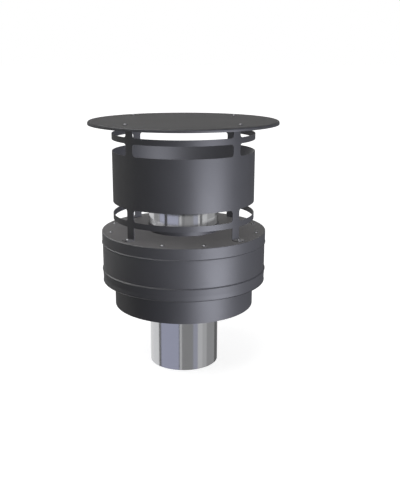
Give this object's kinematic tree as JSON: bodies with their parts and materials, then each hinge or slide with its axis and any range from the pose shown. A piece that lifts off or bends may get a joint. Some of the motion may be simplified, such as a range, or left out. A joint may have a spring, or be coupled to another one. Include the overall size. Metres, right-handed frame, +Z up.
{
  "type": "chimney rain cap",
  "caption": "Round chimney cap with a flat rain plate over a windowed wind shield, an insulated drum, an outer collar and a flue spigot.",
  "frame": {"origin": "centre of the flue pipe's lower end, on the plane of its rim", "axes": "+Z up along the cap's axis; +X and +Y are horizontal, with a window of the cage at each and the four legs halfway between"},
  "size_m": [0.3979, 0.398, 0.5328],
  "materials": {
    "dark_paint": "satin powder coat, anthracite grey",
    "bright_steel": "bright rolled stainless steel",
    "zinc_steel": "zinc-coated steel, matt",
    "screw_steel": "stainless steel, turned",
    "seal_rubber": "matt grey rubber",
    "fibre_board": "pressed mineral fibre",
    "mineral_wool": "loose mineral wool"
  },
  "bodies": {
    "root": {"rain_plate": "dark_paint", "rain_plate_screws": "screw_steel", "rain_plate_washers": "seal_rubber", "rain_plate_nuts": "zinc_steel", "cage": "dark_paint", "cage_foot_screws": "screw_steel", "lid_screws": "screw_steel", "lid_washers": "seal_rubber", "lid_nuts": "zinc_steel", "drum_lid": "dark_paint", "pipe_upstand": "dark_paint", "lid_gasket": "fibre_board", "lid_ring": "zinc_steel", "drum_wall": "dark_paint", "upper_wool_slab": "mineral_wool", "lower_wool_slab": "mineral_wool", "drum_base": "dark_paint", "anchor_plate": "zinc_steel", "base_rivets": "screw_steel", "outer_collar": "dark_paint", "flue_pipe": "bright_steel"}
  },
  "joints": []
}
